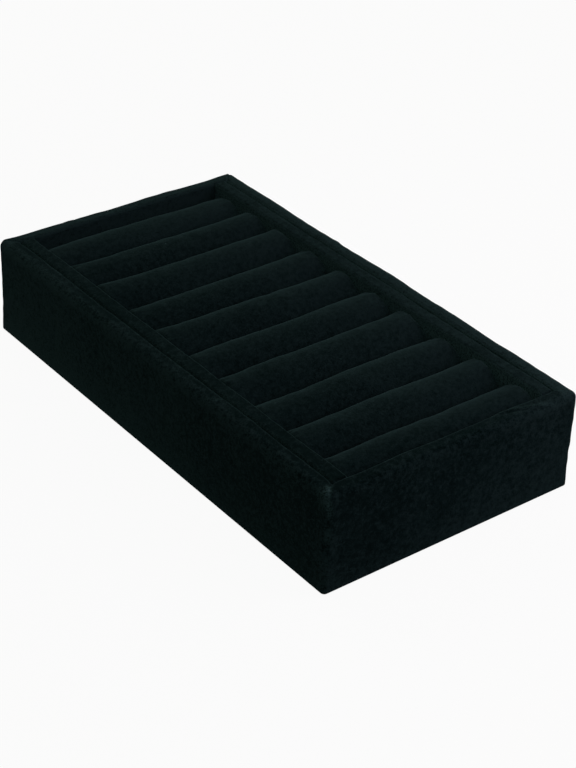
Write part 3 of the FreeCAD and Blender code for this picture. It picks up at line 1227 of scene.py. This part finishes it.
@dataclass(frozen=True)
class Inflation:
    """Blows the rolls' crowns up a little, as cloth held at its end seams and between its neighbours."""

    enlarge: float = 10.0
    pressure: float = 4.0
    frames: int = 20
    every: int = 3
    scatter: float = 0.01 * MM
    seed: int = 41

    def cloth(self, grids: np.ndarray, held: np.ndarray) -> bpy.types.Object:
        """Makes the cloth of all sleeves, scattered a little so that no two points fall together.

        Args:
            grids: the sleeves' points, sleeves by rows by columns by 3.
            held: whether each point is held in its place.

        Returns:
            The cloth, ready for its first frame.
        """
        count, rows, columns = held.shape
        points = grids + np.random.default_rng(self.seed).normal(0, self.scatter, grids.shape)
        faces = quads(rows, columns, False)
        firsts = np.arange(count)[:, None, None] * rows * columns
        mesh = bpy.data.meshes.new("cloth")
        mesh.from_pydata((self.enlarge * points).reshape(-1, 3).tolist(), [],
                         (faces + firsts).reshape(-1, 4).tolist())
        piece = bpy.data.objects.new("cloth", mesh)
        bpy.context.scene.collection.objects.link(piece)
        group = piece.vertex_groups.new(name="held")
        group.add(np.flatnonzero(held).tolist(), 1.0, "REPLACE")
        work = piece.modifiers.new("cloth", "CLOTH")
        work.settings.vertex_group_mass = group.name
        work.settings.use_pressure = True
        work.settings.uniform_pressure_force = self.pressure
        work.settings.effector_weights.gravity = 0.0
        work.point_cache.frame_start, work.point_cache.frame_end = 1, self.frames
        return piece

    def run(self, grids: list[np.ndarray], spring: float) -> list[np.ndarray]:
        """Blows all sleeves up at once, on a thinned copy of their grids.

        Args:
            grids: the sleeves' points, all in grids of one shape.
            spring: the height below which the sleeves hold each other.

        Returns:
            How far each point moves.
        """
        rows, columns = grids[0].shape[:2]
        kept_rows, kept_columns = thinned(rows, self.every), thinned(columns, self.every)
        start = np.stack([grid[np.ix_(kept_rows, kept_columns)] for grid in grids])
        held = start[..., 2] < spring
        held[:, [0, -1]] = True
        piece = self.cloth(start, held)
        for number in range(1, self.frames + 1):
            bpy.context.scene.frame_set(number)
        blown = piece.evaluated_get(bpy.context.evaluated_depsgraph_get()).data
        ended = np.empty(start.size)
        blown.vertices.foreach_get("co", ended)
        bpy.context.scene.frame_set(1)
        bpy.data.meshes.remove(piece.data)
        moves = (ended.reshape(start.shape) / self.enlarge - start) * ~held[..., None]
        weights = spread(kept_rows, rows), spread(kept_columns, columns)
        return [np.einsum("ia,jb,abk->ijk", *weights, move, optimize=True) for move in moves]


@dataclass
class RingRoll:
    """One ring roll: a velvet sleeve over a foam core with a half-round crown and drawn-in ends."""

    number: int
    low: Vector
    high: Vector
    core_inset: float
    core_play: float = 0.1 * MM
    left_end: RollEnd = RollEnd(2.6 * MM, 2.6 * MM, 1.8 * MM)
    right_end: RollEnd = RollEnd(1.7 * MM, 1.5 * MM, 0.3 * MM)
    crown_rise: Pair = (14 * MM, 4 * MM)
    crown_room: float = 0.55 * MM
    side_room: float = 0.10 * MM
    foot_edge: float = 1.0 * MM
    hem: float = 4.0 * MM
    step: float = 1.1 * MM
    crown_steps: int = 49
    side_steps: int = 17
    face_steps: int = 7
    foot_steps: int = 5
    hem_steps: int = 6
    end_steps: int = 10
    long_wave: Ripple = Ripple(38 * MM, 0.16 * MM, 100)
    short_wave: Ripple = Ripple(9 * MM, 0.06 * MM, 200)
    pucker: Ripple = Ripple(3.2 * MM, 0.14 * MM, 300)
    pucker_stretch: Triple = (0.2, 1, 1)
    pucker_place: float = 1.5 * MM
    pucker_reach: float = 3.0 * MM
    painted_gradient_share: float = 0.5
    right_nap: float = 0.03
    left_end_nap: float = 0.05
    left_end_reach: float = 4 * MM
    right_end_wear: float = 0.08
    right_end_reach: Pair = (6 * MM, 1.5 * MM)
    right_end_depth: Pair = (1.5 * MM, 5 * MM)
    evenness: float = 0.45
    sleeve_fill: float = 0.9
    core_fill: float = 1.0
    pieces: list[bpy.types.Object] = field(default_factory=list)

    @classmethod
    def from_frame(cls, number: int) -> "RingRoll":
        """Takes the sizes from the roll's sleeve and core.

        Args:
            number: the roll's number, from the front.

        Returns:
            The roll, before it is built.
        """
        low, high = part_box(f"roll_{number:02d}_sleeve")
        core_low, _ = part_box(f"roll_{number:02d}_core")
        return cls(number, low, high, core_low.y - low.y)

    @property
    def body(self) -> str:
        """The name of the roll's body, with which its nodes' names start."""
        return f"roll_{self.number:02d}"

    @property
    def lie(self) -> Lie:
        """How this roll lies."""
        return ROLL_LIES[self.number - 1]

    @property
    def half(self) -> float:
        """Half the roll's width, which is also its crown's radius."""
        return (self.high.y - self.low.y) / 2

    @property
    def spring(self) -> float:
        """The height where the crown springs from the flanks."""
        return self.high.z - self.half

    def section(self, wide: float, crest: float, spring: float, hem: float) -> np.ndarray:
        """The roll's cross-section about its own middle.

        Args:
            wide: half its width.
            crest: the height of its crest.
            spring: the height where its crown springs from its flanks.
            hem: how far the sleeve turns under the roll.

        Returns:
            Rows of (Y, Z), from the front hem over the crown to the rear hem.
        """
        foot, edge, tuck = self.low.z, min(self.foot_edge, 0.5 * wide), min(hem, wide)
        turned = np.linspace(-wide + tuck, -wide + edge, self.hem_steps)
        under = np.column_stack((turned, np.full(self.hem_steps, foot)))
        bend = arc((-wide + edge, foot + edge), edge, 270, 180, self.foot_steps)[1:]
        heights = np.linspace(foot + edge, spring, self.side_steps)[1:]
        flank = np.column_stack((np.full(len(heights), -wide), heights))
        crown = arc((0, 0), 1, 180, 0, self.crown_steps)[1:-1] * (wide, crest - spring) + (0, spring)
        front = np.concatenate((under, bend, flank))
        return np.concatenate((front, crown, front[::-1] * (-1, 1)))

    def stations(self, end: RollEnd, inset: float) -> list[tuple[float, float, float, float]]:
        """The sections of one end, from its seam to the full section.

        Args:
            end: how the end is rounded off.
            inset: how far the surface lies inside the sleeve.

        Returns:
            Rows of (distance from the end plane, half width, crest, spring).
        """
        wide, crest = self.half - inset, self.high.z - inset
        found = [(away, wide - share * end.narrow, crest - share * end.drop,
                  self.spring - 0.5 * share * end.drop) for away, share in end.steps(self.end_steps)]
        _, wide, crest, spring = found[0]
        closing = np.linspace(0, 1, self.face_steps)[:-1]
        return [(0.0, wide * share, spring + (crest - spring) * share, spring) for share in closing] + found

    def form(self, inset: float, hem: float) -> np.ndarray:
        """The roll's whole surface about its own middle.

        Args:
            inset: how far the surface lies inside the sleeve.
            hem: how far it turns under the roll.

        Returns:
            A grid of points from the left end to the right end.
        """
        first, last = self.low.x + inset, self.high.x - inset
        inner = run((first + self.left_end.length, 0), (last - self.right_end.length, 0), self.step)[:, 0]
        rows = [(first + away, *sizes) for away, *sizes in self.stations(self.left_end, inset)]
        rows += [(place, self.half - inset, self.high.z - inset, self.spring) for place in inner]
        rows += [(last - away, *sizes) for away, *sizes in reversed(self.stations(self.right_end, inset))]
        return np.stack([np.insert(self.section(*sizes, hem), 0, place, axis=1) for place, *sizes in rows])

    def settle(self, points: np.ndarray) -> np.ndarray:
        """Leans, skews and presses the crown as this roll lies, and moves it to its place.

        Args:
            points: the roll's surface about its own middle.

        Returns:
            The surface in the tray.
        """
        x, y, z = np.moveaxis(points, -1, 0)
        share = np.clip((z - self.spring) / self.half, 0, 1)
        turn = self.lie.skew * 0.5 * x / self.high.x
        y = y + (self.lie.lean + turn) * MM * smooth(share, 0, 1) + (self.low.y + self.high.y) / 2
        return np.stack((x, y, z - share * self.lie.flat * MM), axis=-1)

    def sleeve(self) -> np.ndarray:
        """Gives the sleeve's points as it lies, before it is blown up."""
        return self.settle(self.form(0.0, self.hem))[:, ::-1]

    def core(self) -> np.ndarray:
        """Gives the core's points, at every other place of its form."""
        whole = self.settle(self.form(self.core_inset + self.core_play, self.half))[:, ::-1]
        return whole[np.ix_(*[thinned(count, 2) for count in whole.shape[:2]])]

    def build(self, sleeve: np.ndarray, move: np.ndarray) -> None:
        """Makes the sleeve and its core.

        Args:
            sleeve: the sleeve's points as it lies.
            move: how far each point moves when the sleeve is blown up.
        """
        x, _, z = np.moveaxis(sleeve, -1, 0)
        from_left, from_right, below = x - self.low.x, self.high.x - x, self.high.z - z
        crown = smooth(below, *self.crown_rise)
        room = blend(self.side_room, self.crown_room, crown)[..., None]
        sleeve = sleeve + move * room / (room + np.linalg.norm(move, axis=-1, keepdims=True))
        waves = sum(wave.again(self.number).at(sleeve) for wave in (self.long_wave, self.short_wave))
        pucker = self.pucker.again(self.number).at(sleeve * self.pucker_stretch)
        pucker *= hump(np.minimum(from_left, from_right) - self.pucker_place, self.pucker_reach)
        sleeve = sleeve + facing(sleeve, False) * ((waves + pucker) * crown)[..., None]
        # Painted light on the sleeve: the tray's painted gradient, lighter towards the right, set per roll
        # and lighter at the left ends; the recess at the right ends below the crest is painted lighter.
        nap = self.painted_gradient_share * PAINTED_LIGHT_GRADIENT.at(sleeve) + self.right_nap * smooth(x, 0, self.high.x)
        nap += self.lie.nap + self.left_end_nap * smooth(from_left, self.left_end_reach, 0)
        wear = self.right_end_wear * smooth(from_right, *self.right_end_reach)
        wear *= smooth(below, *self.right_end_depth)
        even = np.full(nap.shape, self.evenness)
        self.pieces = [skin(f"{self.body}_velvet_sleeve", sleeve, False, nap=nap, wear=wear, even=even),
                       skin(f"{self.body}_foam_core", self.core(), False)]
        self.pieces[0]
        self.pieces[1]

    def dress(self, finishes: Finishes) -> None:
        """Covers sleeve and core and sets them on the roll's body.

        Args:
            finishes: the tray's finishes.
        """
        for piece, slot, node in zip(self.pieces, (Slot.VELVET, Slot.FOAM), ("sleeve", "core")):
            finishes.put_on(piece, slot)
            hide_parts(f"{self.body}_{node}")
            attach(piece, self.body)


@dataclass
class RollBed:
    """The ten rolls, whose sleeves are blown up together."""

    rolls: list[RingRoll]
    inflation: Inflation = Inflation()

    @classmethod
    def from_frame(cls) -> "RollBed":
        """Takes every roll from the frame."""
        return cls([RingRoll.from_frame(number) for number in range(1, len(ROLL_LIES) + 1)])

    @property
    def pieces(self) -> list[bpy.types.Object]:
        """The made sleeves and cores of all rolls."""
        return [piece for roll in self.rolls for piece in roll.pieces]

    def build(self) -> None:
        """Makes every roll."""
        sleeves = [roll.sleeve() for roll in self.rolls]
        spring = self.rolls[0].spring
        moves = self.inflation.run(sleeves, spring)
        for roll, sleeve, move in zip(self.rolls, sleeves, moves):
            roll.build(sleeve, move)

    def dress(self, finishes: Finishes) -> None:
        """Dresses every roll."""
        for roll in self.rolls:
            roll.dress(finishes)


@dataclass
class FlatSheet(TrayCloth):
    """A flat cloth glued to the base board: the floor liner above it or the felt below it."""

    name: str
    node: str
    slot: Slot
    low: Vector
    high: Vector
    step: float = 2.2 * MM
    room: float = 0.04 * MM
    cut_edge: float = 0.2 * MM
    cut_steps: int = 2
    sag: Ripple = Ripple(16 * MM, 0.03 * MM, 21)
    piece: bpy.types.Object | None = None

    @classmethod
    def from_frame(cls, name: str, node: str, slot: Slot) -> "FlatSheet":
        """Takes the sizes from the sheet's own node."""
        return cls(name, node, slot, *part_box(node))

    def build(self) -> None:
        """Makes the sheet with its thickness and softly cut edges."""
        width, length = self.high.x - self.low.x, self.high.y - self.low.y
        across = np.linspace(self.low.x, self.high.x, math.ceil(width / self.step))
        along = np.linspace(self.low.y, self.high.y, math.ceil(length / self.step))
        x, y = np.meshgrid(across, along)
        top = np.stack((x, y, np.full_like(x, self.high.z - self.room)), axis=-1)
        top[..., 2] += np.clip(self.sag.at(top), -self.room, 0.5 * self.room)
        self.piece = skin(self.name, top, False)
        solid = self.piece.modifiers.new("thickness", "SOLIDIFY")
        solid.thickness = self.high.z - self.low.z - 2 * self.room
        solid.offset = -1
        soft = self.piece.modifiers.new("soft_edge", "BEVEL")
        soft.width, soft.segments, soft.limit_method = self.cut_edge, self.cut_steps, "ANGLE"


@dataclass
class HiddenFrame:
    """The boards and pins inside the velvet, which keep their own solids."""

    boards: tuple[str, ...] = ("base_board", "front_wall_board", "right_wall_board", "rear_wall_board",
                               "left_wall_board", "left_rail_board", "right_rail_board")
    pins: tuple[str, ...] = ("corner_pins", "base_pins")

    def dress(self, finishes: Finishes) -> None:
        """Finishes every board and pin.

        Args:
            finishes: the tray's finishes.
        """
        for names, slot in ((self.boards, Slot.BOARD), (self.pins, Slot.STEEL)):
            for name in names:
                finishes.put_on(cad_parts[name], slot)
                LOG.info("dressed %s", name)


@dataclass(frozen=True)
class Lamp:
    """One large soft lamp that looks at the tray from a way round it and a height above it, in degrees."""

    name: str
    round: float
    above: float
    power: float
    size: float = 0.9
    distance: float = 1.5
    tint: Triple = (1, 1, 1)

    def hang(self) -> None:
        """Hangs the lamp."""
        way, rise = math.radians(self.round), math.radians(self.above)
        ahead = Vector((math.sin(way) * math.cos(rise), -math.cos(way) * math.cos(rise), math.sin(rise)))
        bulb = bpy.data.lights.new(self.name, "AREA")
        bulb.energy, bulb.size, bulb.color = self.power, self.size, self.tint
        holder = bpy.data.objects.new(self.name, bulb)
        holder.location = self.distance * ahead
        holder.rotation_euler = (-ahead).to_track_quat("-Z", "Y").to_euler()
        bpy.context.scene.collection.objects.link(holder)


@dataclass
class Studio:
    """The pale floor, the soft light and the camera."""

    floor_size: float = 6.0
    sky: float = 0.02
    lamps: tuple[Lamp, ...] = (
        Lamp("front_lamp", 42, 40, 0.90, 0.3, 0.45, (1.16, 0.92, 1.08)),
        Lamp("rear_lamp", -173, 40, 7.5, tint=(1, 1, 0.80)),
        Lamp("right_lamp", 97, 24, 6.0, tint=(1, 1, 0.90)),
        Lamp("low_lamp", 142, 15, 4.2, tint=(1, 1, 0.85)),
        Lamp("top_lamp", -83, 80, 2.6),
        Lamp("near_lamp", -22, 40, 6.9, tint=(0.86, 1.02, 0.98)),
    )
    camera_place: Triple = (-361.90 * MM, -457.71 * MM, 377.87 * MM)
    camera_aim: Triple = (-5.64 * MM, -17.44 * MM, 19.50 * MM)
    camera_roll: float = 2.737
    camera_lens: float = 88.844
    camera_film: float = 36.0

    def lay_floor(self) -> None:
        """Lays the floor under the tray."""
        mesh = bpy.data.meshes.new("floor")
        half = self.floor_size / 2
        corners = [(-half, -half, 0), (half, -half, 0), (half, half, 0), (-half, half, 0)]
        mesh.from_pydata(corners, [], [(0, 1, 2, 3)])
        floor = bpy.data.objects.new("floor", mesh)
        mesh.materials.append(PaleFloor().material())
        bpy.context.scene.collection.objects.link(floor)

    def light(self) -> None:
        """Sets an even white surround and the lamps round the tray."""
        world = bpy.data.worlds.new("studio")
        bpy.context.scene.world = world
        maker = NodeMaker(world)
        strength = self.sky + (1 - self.sky) * maker.seen()
        ground = maker.add("Background", None, {"Color": WHITE, "Strength": strength})
        maker.add("OutputWorld", None, {"Surface": ground.outputs[0]})
        for lamp in self.lamps:
            lamp.hang()

    def set_camera(self) -> None:
        """Sets the camera at the photograph's angle."""
        lens = bpy.data.cameras.new("camera")
        lens.lens, lens.sensor_width = self.camera_lens, self.camera_film
        holder = bpy.data.objects.new("camera", lens)
        ahead = Vector(self.camera_aim) - Vector(self.camera_place)
        turn = ahead.to_track_quat("-Z", "Y").to_matrix().to_4x4()
        roll = Matrix.Rotation(math.radians(self.camera_roll), 4, "Z")
        holder.matrix_world = Matrix.Translation(self.camera_place) @ turn @ roll
        bpy.context.scene.collection.objects.link(holder)
        bpy.context.scene.camera = holder
        bpy.context.scene.view_settings.view_transform = "Standard"


def main() -> None:
    """Builds and dresses every sub-assembly in order."""
    logging.basicConfig(level=logging.INFO, format="%(message)s")
    studio = Studio()
    studio.set_camera()
    studio.lay_floor()
    studio.light()
    finishes = Finishes.make()
    assemblies = [WallCover.from_frame(), *[RailCover.from_frame(side) for side in Side],
                  RollBed.from_frame(),
                  FlatSheet.from_frame("floor_liner_cloth", "floor_liner", Slot.LINER),
                  FlatSheet.from_frame("base_felt_sheet", "base_felt", Slot.FELT)]
    for assembly in assemblies:
        assembly.build()
        assembly.dress(finishes)
        for piece in assembly.pieces:
            LOG.info("made and dressed %s", piece.name)
    HiddenFrame().dress(finishes)


if __name__ == "__main__":
    main()
